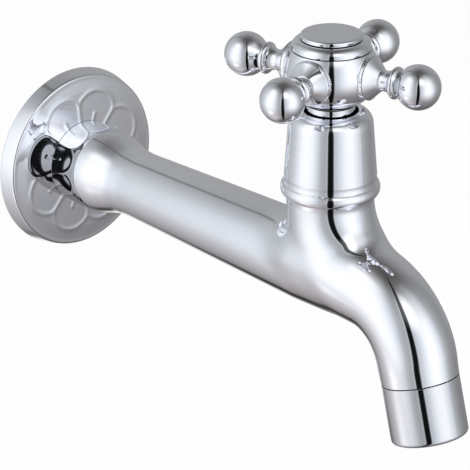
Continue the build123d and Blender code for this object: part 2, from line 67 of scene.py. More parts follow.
# The studio: a plain white floor a little way under the tap, soft lamps, and the cloth tent
# that chromed things are photographed in, which is what the chrome mirrors. It has two
# white sides, a gap between them for the lens, a grey back and base, and a darker roof.
MIDDLE = 0.1                     # how far the middle of the studio is from the wall
FLOOR_Z = -0.30
FLOOR_SIZE = 6.0
FLOOR_WHITE = 0.96               # the share of plain white where the floor is seen directly
TENT_CENTRE = Vector((0.126, 0.0, 0.0))
TENT_RADIUS = 0.90
TENT_HEIGHT = 0.90
TENT_DEPTH = 0.27
WHITE_CLOTH = 1.15               # how strongly white cloth glows
LENS_TURN = -43.5                # where the gap for the lens is, in degrees about the tap
GAP_SPAN = 30                    # degrees that the gap's ramp of tones covers
GAP_TIGHT = 1.03                 # how much narrower it is than that, level with the tap,
GAP_TAPER = 0.25                 # and how much more so straight above
GAP_TOP_LIGHT = 0.12             # how much of its top the roof's cloth closes
LAMP_AIM = Vector((MIDDLE, 0, 0.02))


def new_material(name):
    """An empty node material, and its tree."""
    material = bpy.data.materials.new(name)
    material.use_nodes = True
    tree = material.node_tree
    tree.nodes.clear()
    return material, tree


def math_node(tree, operation, first, second=None, third=None, clamp=False):
    """A Math node. Each input is a number or another node's output."""
    node = tree.nodes.new("ShaderNodeMath")
    node.operation = operation
    node.use_clamp = clamp
    for socket, value in zip(node.inputs, (first, second, third)):
        if value is None:
            continue
        if isinstance(value, (int, float)):
            socket.default_value = value
        else:
            tree.links.new(value, socket)
    return node.outputs[0]


def ramp_node(tree, factor, stops, interpolation="EASE"):
    """A colour ramp through (position, grey level or colour) stops."""
    node = tree.nodes.new("ShaderNodeValToRGB")
    node.color_ramp.interpolation = interpolation
    elements = node.color_ramp.elements
    while len(elements) > 1:
        elements.remove(elements[-1])
    for number, (position, colour) in enumerate(stops):
        element = elements[0] if number == 0 else elements.new(position)
        element.position = position
        rgb = (colour,) * 3 if isinstance(colour, (int, float)) else colour
        element.color = (*rgb, 1)
    tree.links.new(factor, node.inputs[0])
    return node.outputs[0]


def mesh_object(name, mesh):
    """A mesh as an object in the scene."""
    piece = bpy.data.objects.new(name, mesh)
    bpy.context.scene.collection.objects.link(piece)
    return piece


def seen_directly(tree):
    """1 for the camera and for what mirrors or lets light through, 0 for diffuse light."""
    path = tree.nodes.new("ShaderNodeLightPath")
    direct = math_node(tree, "MAXIMUM", path.outputs["Is Camera Ray"],
                       path.outputs["Is Glossy Ray"])
    return math_node(tree, "MAXIMUM", direct, path.outputs["Is Transmission Ray"])


# White behind the tap for whatever sees it directly, and an even dim light from all round
world = bpy.data.worlds.new("studio")
bpy.context.scene.world = world
world.use_nodes = True
tree = world.node_tree
tree.nodes.clear()
room_light = tree.nodes.new("ShaderNodeBackground")
room_light.inputs["Color"].default_value = (0.93, 0.95, 1.0, 1)
room_light.inputs["Strength"].default_value = 0.45
white_behind = tree.nodes.new("ShaderNodeBackground")
white_behind.inputs["Color"].default_value = (1, 1, 1, 1)
choice = tree.nodes.new("ShaderNodeMixShader")
world_output = tree.nodes.new("ShaderNodeOutputWorld")
tree.links.new(seen_directly(tree), choice.inputs[0])
tree.links.new(room_light.outputs[0], choice.inputs[1])
tree.links.new(white_behind.outputs[0], choice.inputs[2])
tree.links.new(choice.outputs[0], world_output.inputs[0])

floor_mesh = bpy.data.meshes.new("floor")
floor_bmesh = bmesh.new()
bmesh.ops.create_grid(floor_bmesh, x_segments=4, y_segments=4, size=FLOOR_SIZE,
                      matrix=Matrix.Translation((MIDDLE, 0, FLOOR_Z)))
floor_bmesh.to_mesh(floor_mesh)
floor_bmesh.free()
floor = mesh_object("floor", floor_mesh)
floor_material, tree = new_material("white_floor")
floor_paint = tree.nodes.new("ShaderNodeBsdfDiffuse")
floor_paint.inputs["Color"].default_value = (0.85, 0.85, 0.85, 1)
floor_white = tree.nodes.new("ShaderNodeEmission")
choice = tree.nodes.new("ShaderNodeMixShader")
floor_output = tree.nodes.new("ShaderNodeOutputMaterial")
tree.links.new(math_node(tree, "MULTIPLY", seen_directly(tree), FLOOR_WHITE), choice.inputs[0])
tree.links.new(floor_paint.outputs[0], choice.inputs[1])
tree.links.new(floor_white.outputs[0], choice.inputs[2])
tree.links.new(choice.outputs[0], floor_output.inputs[0])
floor.data.materials.append(floor_material)

tent_mesh = bpy.data.meshes.new("light_tent")
tent_bmesh = bmesh.new()
bmesh.ops.create_uvsphere(tent_bmesh, u_segments=64, v_segments=32, radius=1.0)
for corner in tent_bmesh.verts:
    height = TENT_HEIGHT if corner.co.z > 0 else TENT_DEPTH
    corner.co = TENT_CENTRE + Vector((corner.co.x * TENT_RADIUS, corner.co.y * TENT_RADIUS,
                                      corner.co.z * height))
tent_bmesh.to_mesh(tent_mesh)
tent_bmesh.free()
tent = mesh_object("light_tent", tent_mesh)
tent.visible_camera = False
tent.visible_diffuse = False
tent.visible_shadow = False
tent.visible_transmission = False

# The cloth's tone follows the direction from the tent's centre: its turn about the tap, from
# -180 degrees at the wall through 0 straight out to 180, and its rise above the level.
tent_material, tree = new_material("tent_cloth")
place = tree.nodes.new("ShaderNodeNewGeometry")
from_centre = tree.nodes.new("ShaderNodeVectorMath")
from_centre.operation = "SUBTRACT"
from_centre.inputs[1].default_value = TENT_CENTRE
tree.links.new(place.outputs["Position"], from_centre.inputs[0])
direction = tree.nodes.new("ShaderNodeVectorMath")
direction.operation = "NORMALIZE"
tree.links.new(from_centre.outputs[0], direction.inputs[0])
axes = tree.nodes.new("ShaderNodeSeparateXYZ")
tree.links.new(direction.outputs[0], axes.inputs[0])
turn = math_node(tree, "ARCTAN2", axes.outputs["Y"], axes.outputs["X"])
turn = math_node(tree, "MULTIPLY_ADD", turn, 0.5 / pi, 0.5)
rise = math_node(tree, "ARCSINE", axes.outputs["Z"])
rise = math_node(tree, "MULTIPLY_ADD", rise, 1 / pi, 0.5)


def by_turn(stops):
    """A ramp of tones round the tent, through stops in degrees."""
    return ramp_node(tree, turn, [((angle + 180) / 360, tone) for angle, tone in stops], "LINEAR")


def by_rise(stops, interpolation="LINEAR"):
    """A ramp of tones up the tent, through stops in degrees."""
    return ramp_node(tree, rise, [((angle + 90) / 180, tone) for angle, tone in stops],
                     interpolation)


sides = by_turn([
    (-180, 0.39), (-177, 0.42), (-171, 0.46), (-165, 0.48), (-150, 0.57), (-136, 0.75),
    (-122, 0.95), (-112, 1.0), (-98, 0.98), (-88, 0.90), (-76, 0.66), (-68, 0.46), (-58, 0.37),
    (-50, 0.47), (-37, 0.52), (-29, 0.58), (-20, 0.74), (-10, 0.90), (0, 0.99), (14, 1.0),
    (28, 0.82), (36, 0.67), (44, 0.48), (53, 0.36), (67, 0.28), (82, 0.25), (98, 0.30),
    (128, 0.31), (157, 0.36), (180, 0.39)])
base = by_turn([
    (-180, 0.24), (-165, 0.33), (-150, 0.43), (-132, 0.55), (-100, 0.53), (-82, 0.44),
    (-60, 0.30), (-25, 0.27), (0, 0.23), (50, 0.19), (85, 0.14), (100, 0.12), (125, 0.13),
    (150, 0.15), (180, 0.22)])

# The edges of the gap for the lens are sharp, and it grows a little narrower upward.
gap_place = math_node(tree, "MULTIPLY_ADD", turn, 360, -180 - LENS_TURN)
gap_place = math_node(tree, "MULTIPLY", gap_place,
                      math_node(tree, "MULTIPLY_ADD", axes.outputs["Z"], GAP_TAPER, GAP_TIGHT))
gap_place = math_node(tree, "MULTIPLY_ADD", gap_place, 1 / GAP_SPAN, 0.5)
gap = ramp_node(tree, gap_place, [(0.5 + angle / GAP_SPAN, tone) for angle, tone in (
    (-7.6, 1.0), (-6.5, 0.08), (-5.0, 0.03), (-2.5, 0.012), (3.5, 0.012), (5.6, 0.04),
    (6.8, 0.15), (9.0, 1.0))], "LINEAR")
gap_open = tree.nodes.new("ShaderNodeMixRGB")
gap_open.inputs[2].default_value = (1, 1, 1, 1)
gap_rise = math_node(tree, "MULTIPLY", by_rise([(26, 0.0), (40, 1.0)], "EASE"), GAP_TOP_LIGHT)
tree.links.new(gap_rise, gap_open.inputs[0])
tree.links.new(gap, gap_open.inputs[1])

roof_part = by_rise([(24, 0.0), (35, 0.06), (45, 0.22), (55, 0.42), (65, 0.70), (75, 0.93),
                     (85, 1.0)])
base_part = by_rise([(-50, 1.0), (-45, 0.95), (-35, 0.76), (-25, 0.45), (-14, 0.11), (-4, 0.0)])
foot_part = by_rise([(-85, 1.0), (-55, 0.0)], "EASE")


def patch(tree, turn_of, rise_of, half_turn, half_rise):
    """A soft round patch on the cloth, 1 at its middle and 0 outside it."""
    across = math_node(tree, "MULTIPLY_ADD", turn, 360 / half_turn, -(turn_of + 180) / half_turn)
    upward = math_node(tree, "MULTIPLY_ADD", rise, 180 / half_rise, -(rise_of + 90) / half_rise)
    away = math_node(tree, "ADD", math_node(tree, "MULTIPLY", across, across),
                     math_node(tree, "MULTIPLY", upward, upward))
    near = math_node(tree, "SUBTRACT", 1.0, away, clamp=True)
    return math_node(tree, "MULTIPLY", near, near)


def mixed(tree, share, first, second):
    """Blend two colours, each a node's output or a plain colour."""
    mix = tree.nodes.new("ShaderNodeMixRGB")
    tree.links.new(share, mix.inputs[0])
    for socket, colour in zip(mix.inputs[1:], (first, second)):
        if isinstance(colour, tuple):
            socket.default_value = (*colour, 1)
        else:
            tree.links.new(colour, socket)
    return mix.outputs[0]


def dimmed(tree, colour, tone):
    """Multiply a colour by a tone, a node's output or a plain colour."""
    mix = tree.nodes.new("ShaderNodeMixRGB")
    mix.blend_type = "MULTIPLY"
    mix.inputs[0].default_value = 1
    tree.links.new(colour, mix.inputs[1])
    if isinstance(tone, tuple):
        mix.inputs[2].default_value = (*tone, 1)
    else:
        tree.links.new(tone, mix.inputs[2])
    return mix.outputs[0]


# Half-lit cloth is a little blue, and the base a little warm.
half_lit = ramp_node(tree, sides, [(0.36, (1, 1, 1)), (0.48, (0.965, 1.0, 1.035)),
                                   (0.80, (0.965, 1.0, 1.035)), (1.0, (1, 1, 1))], "LINEAR")
cloth = dimmed(tree, sides, half_lit)
cloth = mixed(tree, roof_part, cloth, (0.090, 0.085, 0.081))
cloth = mixed(tree, base_part, cloth, dimmed(tree, base, (1.04, 0.975, 0.98)))
cloth = mixed(tree, foot_part, cloth, (0.120, 0.110, 0.104))

# The lamps shine through the cloth in three places. Behind the tap, near the wall, stand a
# light leg and a dark one of the tent, and a dark seam runs up the cloth there.
for turn_of, rise_of, half_turn, half_rise, tone in (
        (-24, 46, 34, 24, (1.15, 1.15, 1.15)), (-112, 46, 34, 18, (1.0, 1.0, 1.0)),
        (-112, -34, 26, 14, (1.0, 1.0, 1.0)), (155, -27, 23, 15, (0.84, 0.83, 0.82)),
        (165, -46, 17, 15, (0.02, 0.016, 0.014))):
    cloth = mixed(tree, patch(tree, turn_of, rise_of, half_turn, half_rise), cloth, tone)
seam = math_node(tree, "MULTIPLY", by_rise([(15, 0.0), (32, 0.48), (60, 0.48), (75, 0.0)]),
                 by_turn([(170, 0.0), (173.6, 1.0), (176.4, 1.0), (179.4, 0.0)]))
cloth = mixed(tree, seam, cloth, (0.05, 0.05, 0.05))
cloth = dimmed(tree, cloth, gap_open.outputs[0])
cloth_glow = tree.nodes.new("ShaderNodeEmission")
cloth_glow.inputs["Strength"].default_value = WHITE_CLOTH
tree.links.new(cloth, cloth_glow.inputs["Color"])
tent_output = tree.nodes.new("ShaderNodeOutputMaterial")
tree.links.new(cloth_glow.outputs[0], tent_output.inputs[0])
tent.data.materials.append(tent_material)


def soft_lamp(name, place, size, power):
    """A square softbox that points at the middle of the tap, and that chrome doesn't mirror."""
    lamp_data = bpy.data.lights.new(name, "AREA")
    lamp_data.size = size
    lamp_data.energy = power
    lamp = bpy.data.objects.new(name, lamp_data)
    bpy.context.scene.collection.objects.link(lamp)
    lamp.location = place
    aim = LAMP_AIM - lamp.location
    lamp.rotation_euler = aim.to_track_quat("-Z", "Y").to_euler()
    lamp.visible_glossy = False


soft_lamp("left_softbox", (-0.35, -1.1, 0.7), 0.8, 9.0)
soft_lamp("right_softbox", (1.25, 0.05, 0.6), 0.8, 9.0)
soft_lamp("top_softbox", (0.1, 0.1, 1.3), 0.9, 5.0)


# Chrome plate over polished brass, on every part that shows: a faint blue-grey mirror with
# a trace of haze in it, and on the cast body the slight waviness of hand polishing. Narrow
# grooves, joints and creases are darkened with painted shade from an ambient occlusion node.
FILM_SCALE = 55.0
GROOVE_WIDTH = 0.0007


def chrome_plate(name, haze, wave_height, wave_size, tone=1.0):
    """Chrome with a haze, waves of a height and size in metres, and a tone that darkens its whole
    face as painted shade.
    """
    material, tree = new_material(name)
    plate = tree.nodes.new("ShaderNodeBsdfPrincipled")
    plate.inputs["Metallic"].default_value = 1.0
    output = tree.nodes.new("ShaderNodeOutputMaterial")
    tree.links.new(plate.outputs[0], output.inputs[0])
    place = tree.nodes.new("ShaderNodeTexCoord").outputs["Object"]
    film = tree.nodes.new("ShaderNodeTexNoise")
    film.inputs["Scale"].default_value = FILM_SCALE
    film.inputs["Detail"].default_value = 3.0
    tree.links.new(place, film.inputs["Vector"])
    tint = ramp_node(tree, film.outputs["Fac"], [(0.3, (0.870, 0.890, 0.945)),
                                                 (0.7, (0.900, 0.915, 0.960))], "LINEAR")
    # Painted shade: the base colour goes dark where other surfaces lie within GROOVE_WIDTH, in
    # grooves, joints and creases
    crevice = tree.nodes.new("ShaderNodeAmbientOcclusion")
    crevice.samples = 8
    crevice.inputs["Distance"].default_value = GROOVE_WIDTH
    painted_shade = ramp_node(tree, crevice.outputs["AO"], [(0.30, 0.04), (0.60, tone)], "LINEAR")
    tree.links.new(dimmed(tree, tint, painted_shade), plate.inputs["Base Color"])
    rough = ramp_node(tree, film.outputs["Fac"], [(0.3, haze * 0.7), (0.75, haze * 1.6)],
                      "LINEAR")
    tree.links.new(rough, plate.inputs["Roughness"])
    waves = tree.nodes.new("ShaderNodeTexNoise")
    waves.inputs["Scale"].default_value = 1 / wave_size
    waves.inputs["Detail"].default_value = 0.0
    tree.links.new(place, waves.inputs["Vector"])
    bump = tree.nodes.new("ShaderNodeBump")
    bump.inputs["Distance"].default_value = wave_height
    tree.links.new(waves.outputs["Fac"], bump.inputs["Height"])
    tree.links.new(bump.outputs[0], plate.inputs["Normal"])
    return material


cast_chrome = chrome_plate("chrome_on_casting", 0.03, 0.00012, 0.022)
turned_chrome = chrome_plate("chrome_on_turning", 0.02, 0.00002, 0.02)
# Painted shade: the sleeve's chrome is a darker copy of the turned parts' chrome, its whole face at
# 0.9 of their tone
shaded_sleeve_chrome = chrome_plate("chrome_on_sleeve_shaded", 0.02, 0.00002, 0.02, 0.90)
for name, finish in (("bell_shroud", turned_chrome), ("index_button", turned_chrome),
                     ("outlet_sleeve", shaded_sleeve_chrome)):
    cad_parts[name].data.materials[0] = finish


# The parts inside the tap keep their own materials: turned brass, zinc-plated and bright
# steel, moulded rubber and plastic, pressed fibre and ground ceramic. Each has the fine
# grain that its making leaves.
def plain_finish(name, first_tone, second_tone, grain, roughness, relief=0.0, metallic=0.0):
    """A material of two close tones in a fine grain, with a little relief."""
    material, tree = new_material(name)
    surface = tree.nodes.new("ShaderNodeBsdfPrincipled")
    surface.inputs["Metallic"].default_value = metallic
    output = tree.nodes.new("ShaderNodeOutputMaterial")
    tree.links.new(surface.outputs[0], output.inputs[0])
    speckle = tree.nodes.new("ShaderNodeTexNoise")
    speckle.inputs["Scale"].default_value = 1 / grain
    speckle.inputs["Detail"].default_value = 4.0
    place = tree.nodes.new("ShaderNodeTexCoord").outputs["Object"]
    tree.links.new(place, speckle.inputs["Vector"])
    tone = ramp_node(tree, speckle.outputs["Fac"], [(0.3, first_tone), (0.7, second_tone)],
                     "LINEAR")
    tree.links.new(tone, surface.inputs["Base Color"])
    worn = ramp_node(tree, speckle.outputs["Fac"],
                     [(0.3, roughness * 0.8), (0.7, roughness * 1.2)], "LINEAR")
    tree.links.new(worn, surface.inputs["Roughness"])
    if relief:
        bump = tree.nodes.new("ShaderNodeBump")
        bump.inputs["Distance"].default_value = relief
        tree.links.new(speckle.outputs["Fac"], bump.inputs["Height"])
        tree.links.new(bump.outputs[0], surface.inputs["Normal"])
    return material


bare_brass = plain_finish("bare_brass", (0.72, 0.50, 0.20), (0.80, 0.58, 0.27),
                          0.002, 0.28, 0.00003, 1.0)
zinc_steel = plain_finish("zinc_plated_steel", (0.56, 0.57, 0.60), (0.66, 0.66, 0.66),
                          0.0015, 0.35, 0.00002, 1.0)
bright_steel = plain_finish("bright_steel_wire", (0.50, 0.50, 0.50), (0.62, 0.61, 0.59),
                            0.0008, 0.30, 0.0, 1.0)
black_rubber = plain_finish("black_rubber", (0.020, 0.020, 0.021), (0.034, 0.033, 0.032),
                            0.0007, 0.60, 0.00002)
red_fibre = plain_finish("pressed_fibre", (0.30, 0.10, 0.055), (0.42, 0.16, 0.09),
                         0.0006, 0.80, 0.00004)
white_plastic = plain_finish("white_plastic", (0.78, 0.78, 0.76), (0.84, 0.84, 0.82),
                             0.003, 0.38, 0.00001)
white_ceramic = plain_finish("white_ceramic", (0.86, 0.85, 0.81), (0.91, 0.90, 0.87),
                             0.002, 0.16, 0.000004)
FINISHES = {
    bare_brass: ("cartridge_body", "spindle"), zinc_steel: ("handle_screw", "spindle_circlip"),
    bright_steel: ("aerator_net",), black_rubber: ("seat_seal", "outlet_washer", "spindle_o_rings"),
    red_fibre: ("cartridge_washer",), white_plastic: ("aerator_insert", "thrust_washer"),
    white_ceramic: ("fixed_ceramic_disc", "moving_ceramic_disc")}
for finish, names in FINISHES.items():
    for name in names:
        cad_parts[name].data.materials[0] = finish


# Wall flange: brass sheet pressed to a shallow cone with a turned-down rim, and eight petals
# raised in low round ridges about its hole. The barrel's collar holds it to the wall.
FLANGE_RADIUS = 0.03095
FLANGE_EDGE_RADIUS = 0.0299
FLANGE_EDGE_X = 0.0052
FLANGE_EDGE_ROUND = 0.0009
FLANGE_ROUND_X = 0.0044          # the middle of the rounding between the face and the rim
FLANGE_FLAT_RADIUS = 0.0243      # the face falls away more steeply outside the petals
FLANGE_FALL = (0.02, 0.065)
FLANGE_HOLE = 0.01068
FLANGE_SHEET = 0.0009
FLANGE_CREASE = 0.0001           # rings this close to a corner keep it crisp
PETALS = 8
PETAL_TURN = radians(26)
PETAL_NOTCH = 0.0204
PETAL_TIP = 0.0246
PETAL_BACK = 0.0164              # where the vein along a petal's middle begins
PETAL_FOOT = 0.0137              # from here the face has rings close enough for the ridges
PETAL_RINGS = 58
PETAL_RING_STEP = 0.0002
RIDGE_HEIGHT = 0.00011
RIDGE_WIDTH = 0.00078
RIDGE_MOST = 1.15                # crossing ridges rise no higher than this, in ridge heights
VEIN_SLIMNESS = 1.2              # how much narrower the veins are than the other ridges
FLANGE_SIDES = 480
FLANGE_TURNS = np.arange(FLANGE_SIDES) * 2 * pi / FLANGE_SIDES


def flange_relief(radius):
    """Height of the petals' ridges along a ring of the face."""
    half = pi / PETALS
    fold = (FLANGE_TURNS - PETAL_TURN + half) % (2 * half) - half
    along, across = radius * np.cos(fold), np.abs(radius * np.sin(fold))
    notch_along, notch_across = PETAL_NOTCH * cos(half), PETAL_NOTCH * sin(half)
    lobe_centre = ((PETAL_TIP ** 2 - notch_along ** 2 - notch_across ** 2)
                   / (2 * (PETAL_TIP - notch_along)))
    lobe = np.abs(np.hypot(along - lobe_centre, across) - (PETAL_TIP - lobe_centre))
    border = np.hypot(along * sin(half) - across * cos(half),
                      np.maximum(along * cos(half) + across * sin(half) - PETAL_NOTCH, 0))
    vein = np.hypot(across, np.maximum(along - PETAL_BACK, 0))
    lobe = np.where(across * notch_along > along * notch_across - 1e-9, border, lobe)
    height = sum(np.exp(-(distance / RIDGE_WIDTH) ** 2)
                 for distance in (lobe, border, VEIN_SLIMNESS * vein))
    return RIDGE_HEIGHT * np.minimum(height, RIDGE_MOST)


def flange_side(radius):
    """How far the face stands from the wall."""
    inner, outer = FLANGE_FALL
    return (FLANGE_EDGE_X + outer * (FLANGE_EDGE_RADIUS - max(radius, FLANGE_FLAT_RADIUS))
            + inner * max(FLANGE_FLAT_RADIUS - radius, 0))


def arc(centre, radius, start, stop, step):
    """Points along an arc of an outline, about a step of angle apart."""
    parts = max(1, round(abs(stop - start) / step))
    angles = [start + (stop - start) * part / parts for part in range(parts + 1)]
    return [(centre[0] + radius * cos(angle), centre[1] + radius * sin(angle)) for angle in angles]


def ring_about_x(shape, places, radii, turns):
    """New corners round the X axis, at places along it and radii that may change on the way."""
    return [shape.verts.new((place, radius * cos(turn), radius * sin(turn)))
            for place, radius, turn in zip(np.broadcast_to(places, turns.shape),
                                           np.broadcast_to(radii, turns.shape), turns)]


def smooth_object(name, shape, rings, sharp=pi):
    """Join the rings of a shape to each other and the last to the first, as a smooth object."""
    for ring, next_ring in zip(rings, rings[1:] + rings[:1]):
        for side in range(len(ring)):
            corners = (ring[side - 1], ring[side], next_ring[side], next_ring[side - 1])
            corners = list(dict.fromkeys(corners))
            if len(corners) > 2:
                shape.faces.new(corners)
    bmesh.ops.recalc_face_normals(shape, faces=shape.faces[:])
    for face in shape.faces:
        face.smooth = True
    for edge in shape.edges:
        edge.smooth = edge.calc_face_angle(0) < sharp
    mesh = bpy.data.meshes.new(name)
    shape.to_mesh(mesh)
    shape.free()
    return mesh_object(name, mesh)


# The face from the hole outward, round the edge and down the rim, then back along the inside
face_radii = ([FLANGE_HOLE, FLANGE_HOLE + FLANGE_CREASE]
              + [PETAL_FOOT + PETAL_RING_STEP * step for step in range(PETAL_RINGS)]
              + [0.0262, 0.0275, 0.0287])
rim_inside = FLANGE_RADIUS - FLANGE_SHEET
hole_inside = flange_side(FLANGE_HOLE) - FLANGE_SHEET
flange_profile = (
    [(flange_side(radius), radius) for radius in face_radii]
    + arc((FLANGE_ROUND_X, FLANGE_EDGE_RADIUS - FLANGE_EDGE_ROUND), FLANGE_EDGE_ROUND,
          0, radians(86), radians(11))
    + [(0.0002, FLANGE_RADIUS - 0.00002), (0.0, FLANGE_RADIUS),
       (0.0, FLANGE_RADIUS - FLANGE_CREASE), (0.0, rim_inside + FLANGE_CREASE),
       (0.0, rim_inside), (FLANGE_CREASE, rim_inside),
       (FLANGE_ROUND_X - 0.0003, FLANGE_EDGE_RADIUS - FLANGE_SHEET),
       (FLANGE_ROUND_X, FLANGE_EDGE_RADIUS - 0.0013)]
    + [(flange_side(radius) - FLANGE_SHEET, radius) for radius in (0.0270, 0.0150)]
    + [(hole_inside, FLANGE_HOLE + FLANGE_CREASE), (hole_inside, FLANGE_HOLE)])
flange_shape = bmesh.new()
flange_rings = []
for number, (place, radius) in enumerate(flange_profile):
    relief = flange_relief(radius) if 1 < number < len(face_radii) else 0.0
    flange_rings.append(ring_about_x(flange_shape, place + relief, radius, FLANGE_TURNS))
flange = smooth_object("flange", flange_shape, flange_rings)
flange.data.materials.append(cast_chrome)
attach(flange, "root")
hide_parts("wall_flange")


# Tap body: brass cast in one piece, filed and buffed until barrel, neck and spout run into
# each other without an edge, then plated. It is open at three ends: to the inlet thread, to
# the valve and to the outlet.
VALVE = 0.12593
COLLAR_FOOT = 0.00585
NECK_TOP = 0.0250
BARREL_REACH = 0.03              # no point of the barrel is as low as this
BEND_START = 0.1414
BEND_RADIUS = 0.0237
BEND_ANGLE = radians(75)
STRAIGHT_RUN = 0.0065
BLEND_RADIUS = 0.02471
BLEND_HEIGHT = 0.02382
BLEND_ANGLE = radians(79)
SWEEP_MELT = 0.006               # how far the neck melts into its swept front, low down,
SWEEP_FADE = (0.004, 0.020)      # fading out between these heights
NARROW_MELT = 0.0004             # how far the neck's sides and back melt into the barrel,
WIDE_MELT = 0.0072               # how much more they do
MELT_HEIGHT = 0.004              # at this height,
MELT_SPREAD = 0.0110             # and how quickly that drops above and below it
FRONT_MELT = 0.0032              # how far the neck's front melts into the barrel
REAR_MELT = 0.0095               # and how much more than its sides its rear does
CASTING_GRAIN = 0.0009
JOINT_BEVEL = 0.00015

# Where the melts change, and how softly: the front's and the rear's along the barrel, and the
# upper and lower ends of the rear's
FRONT_FADE = (0.1375, 0.0018)
REAR_FADE = (0.1225, 0.0028)
REAR_TOP = (0.0225, 0.0012)
REAR_FOOT = (0.0005, 0.0026)

# Radii along the barrel and spout from the wall, down the neck's front, and up the neck
BARREL_SIDE = [(0.0, 0.01365), (0.006, 0.01385), (0.0115, 0.01427), (0.0165, 0.01427),
               (0.0190, 0.0141), (0.0222, 0.0136), (0.0262, 0.0124), (0.0302, 0.0114),
               (0.036, 0.01108), (0.118, 0.01325), (0.130, 0.0130), (0.150, 0.0123),
               (0.17242, 0.0123), (0.190, 0.0115)]
FRONT_SIDE = [(0.0, 0.0135), (0.020, 0.0136), (0.026, 0.0131), (0.0341, 0.0121),
              (0.046, 0.0108), (0.060, 0.006)]
NECK_SIDE = [(-0.02, 0.0104), (0.0, 0.0108), (0.003, 0.0116), (0.006, 0.0122),
             (0.009, 0.0127), (0.012, 0.0130), (0.016, 0.0132), (0.0238, 0.0135),
             (0.0252, 0.01375), (0.029, 0.0145)]
SIDE_STEP = 0.0001


def smooth_side(stops, softness):
    """A table of places and radii through the stops, with its corners rounded off."""
    places = np.arange(stops[0][0], stops[-1][0], SIDE_STEP)
    radii = np.interp(places, *zip(*stops))
    width = int(softness / SIDE_STEP) | 1
    for _ in range(3):
        padded = np.pad(radii, width // 2, mode="reflect", reflect_type="odd")
        radii = np.convolve(padded, np.ones(width) / width, "valid")
    return places, radii


barrel_side = smooth_side(BARREL_SIDE, 0.0024)
front_side = smooth_side(FRONT_SIDE, 0.003)
neck_side = smooth_side(NECK_SIDE, 0.0008)


def melt(first, second, reach):
    """Join two shapes, with a soft fillet where they come within reach of each other."""
    reach = np.maximum(reach, 1e-6)
    near = np.clip(1 - np.abs(first - second) / reach, 0, 1)
    return np.minimum(first, second) - near ** 3 * reach / 6


def fade(value, middle, softness):
    """1 for values well under the middle and 0 for those well over it."""
    return 1 / (1 + np.exp((value - middle) / softness))


def outside_casting(points):
    """How far points stand outside the casting, negative within it."""
    x, y, z = points.T
    angle = np.arctan2(x - BEND_START, z + BEND_RADIUS)
    from_bend = np.hypot(np.hypot(x - BEND_START, z + BEND_RADIUS) - BEND_RADIUS, y)
    run_x = x - BEND_START - BEND_RADIUS * sin(BEND_ANGLE)
    run_z = z + BEND_RADIUS - BEND_RADIUS * cos(BEND_ANGLE)
    past = run_x * cos(BEND_ANGLE) - run_z * sin(BEND_ANGLE)
    aside = run_x * sin(BEND_ANGLE) + run_z * cos(BEND_ANGLE)
    straight = (x <= BEND_START) & (z > -BARREL_REACH)
    turned = ~straight & (angle <= BEND_ANGLE) & (angle >= 0)
    place = np.where(straight, x, BEND_START + np.where(
        turned, BEND_RADIUS * angle, BEND_RADIUS * BEND_ANGLE + past))
    off = np.where(straight, np.hypot(y, z), np.where(turned, from_bend, np.hypot(aside, y)))
    barrel = off - np.interp(place, *barrel_side)

    turn = np.arctan2(BLEND_HEIGHT - z, VALVE + BLEND_RADIUS - x)
    swing = np.hypot(VALVE + BLEND_RADIUS - x, BLEND_HEIGHT - z)
    beyond = turn > BLEND_ANGLE
    place = np.where(beyond, BLEND_RADIUS * BLEND_ANGLE
                     + BEND_RADIUS * (angle - radians(90) + BLEND_ANGLE),
                     BLEND_RADIUS * np.maximum(turn, 0))
    off = np.where(beyond, from_bend, np.hypot(np.where(turn < 0, x - VALVE,
                                                        swing - BLEND_RADIUS), y))
    front = off - np.interp(place, *front_side)
    neck = np.sqrt((x - VALVE) ** 2 + y ** 2 + np.minimum(z, 0) ** 2) - np.interp(z, *neck_side)
    low, high = SWEEP_FADE
    neck = melt(front, neck, SWEEP_MELT * np.clip((high - z) / (high - low), 0, 1))
    wide = NARROW_MELT + WIDE_MELT * np.exp(-((z - MELT_HEIGHT) / MELT_SPREAD) ** 2)
    behind = fade(x, *FRONT_FADE)
    rear = fade(x, *REAR_FADE) * fade(z, *REAR_TOP) * (1 - fade(z, *REAR_FOOT))
    return melt(barrel, neck, behind * wide + (1 - behind) * FRONT_MELT + rear * REAR_MELT)


def slope_outside(points):
    """Which way the casting's surface faces at each point, as a unit vector."""
    step = 2e-5
    slope = np.stack([outside_casting(points + step * axis) - outside_casting(points - step * axis)
                      for axis in np.eye(3)], axis=1)
    return slope / np.linalg.norm(slope, axis=1, keepdims=True)


def settle(corners, times):
    """Move corners square to the casting's surface until they lie on it."""
    points = np.array([corner.co for corner in corners])
    for _ in range(times):
        away = np.clip(outside_casting(points), -0.001, 0.001)
        points = points - away[:, None] * slope_outside(points)
    for corner, place in zip(corners, points):
        corner.co = place


# Rough bars of about the right thickness are fused, and give the casting its even mesh. These
# are the places and radii of their rings, or only the radii where they are evenly spaced.
ROUGH_SIDES = 32
ROUGH_BARREL = [(0.003, 0.018), (0.008, 0.015), (0.012, 0.0143), (0.020, 0.0142),
                (0.030, 0.0113), (0.12, 0.0131), (0.135, 0.013)]
ROUGH_BEND = [0.0125] * 13
ROUGH_OUTLET = (0.011, 0.012)
ROUGH_NECK = [(0.029, 0.0150), (0.012, 0.0132), (0.0, 0.0122)]
ROUGH_BLEND = [0.0135] * 8 + [0.012]
ALONG = Vector((1, 0, 0))
ACROSS = Vector((0, 1, 0))
DOWN = Vector((0, 0, -1))


def rough_bar(shape, rings):
    """Add a closed bar through rings, each a middle, the way along the bar, and a radius."""
    rows = []
    for middle, way, radius in rings:
        upward = Vector((-way.z, 0, way.x))
        rows.append([shape.verts.new(middle + radius * (cos(turn) * upward + sin(turn) * ACROSS))
                     for turn in (2 * pi * side / ROUGH_SIDES for side in range(ROUGH_SIDES))])
    for row, next_row in zip(rows, rows[1:]):
        for side in range(ROUGH_SIDES):
            shape.faces.new((row[side], row[side - 1], next_row[side - 1], next_row[side]))
    shape.faces.new(rows[0])
    shape.faces.new(reversed(rows[-1]))


